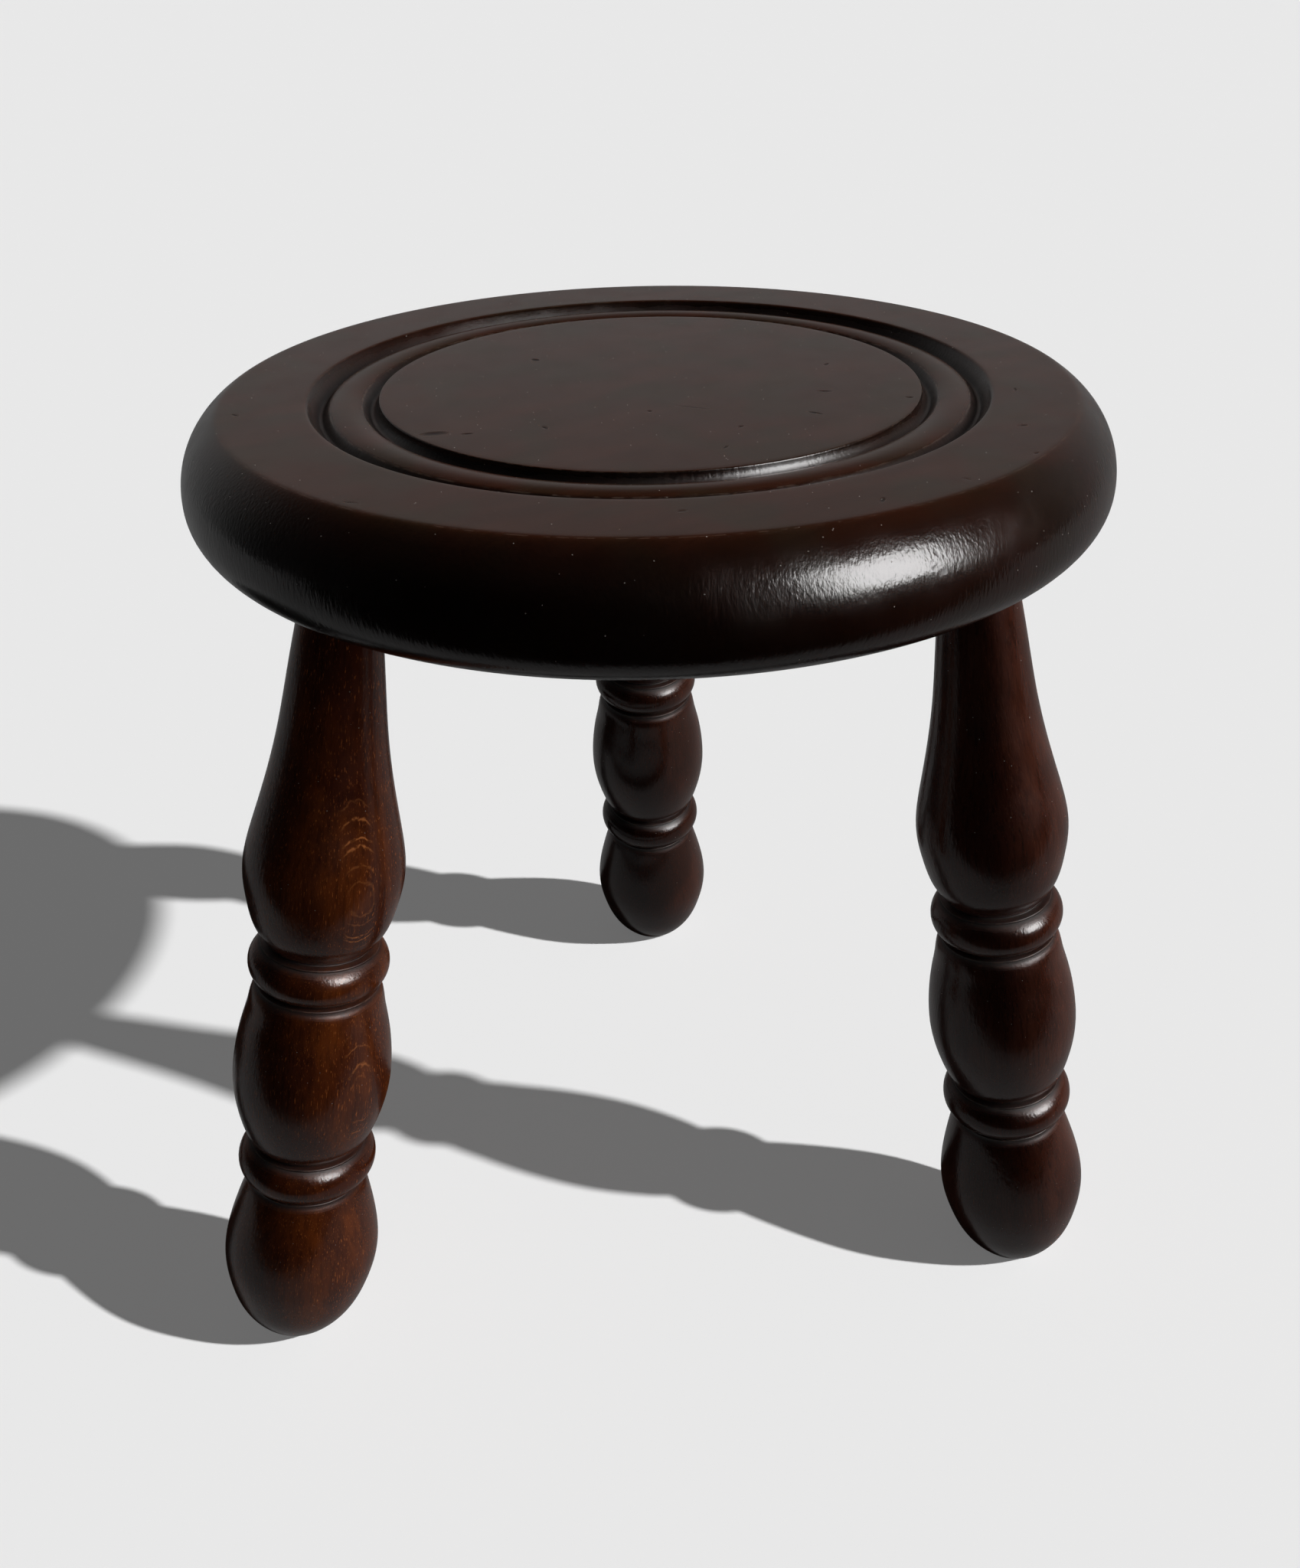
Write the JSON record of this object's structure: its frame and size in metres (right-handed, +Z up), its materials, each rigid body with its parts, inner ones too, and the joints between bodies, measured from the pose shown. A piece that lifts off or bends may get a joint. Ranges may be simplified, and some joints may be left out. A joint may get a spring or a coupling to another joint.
{
  "type": "tripod stool",
  "caption": "Low round stool: a turned wooden seat with a ring moulding in its top, on splayed turned legs tenoned into its underside, stained dark and varnished.",
  "frame": {"origin": "centre of the flat disc in the middle of the seat's top face", "axes": "+Z up, along the seat's turning axis; the two front legs stand at -Y, the left one at -X, and the rear leg at +Y"},
  "size_m": [0.3201, 0.3092, 0.323],
  "materials": {
    "seat_wood": "hardwood, stained very dark brown and gloss varnished, worn at the arrises",
    "leg_wood": "hardwood, stained dark reddish brown and gloss varnished, with ring figure on the bellies",
    "wedge_wood": "bare split hardwood"
  },
  "bodies": {
    "root": {"seat": "seat_wood", "left_front_leg": "leg_wood", "right_front_leg": "leg_wood", "rear_leg": "leg_wood", "left_front_tenon_wedge": "wedge_wood", "right_front_tenon_wedge": "wedge_wood", "rear_tenon_wedge": "wedge_wood"}
  },
  "joints": []
}
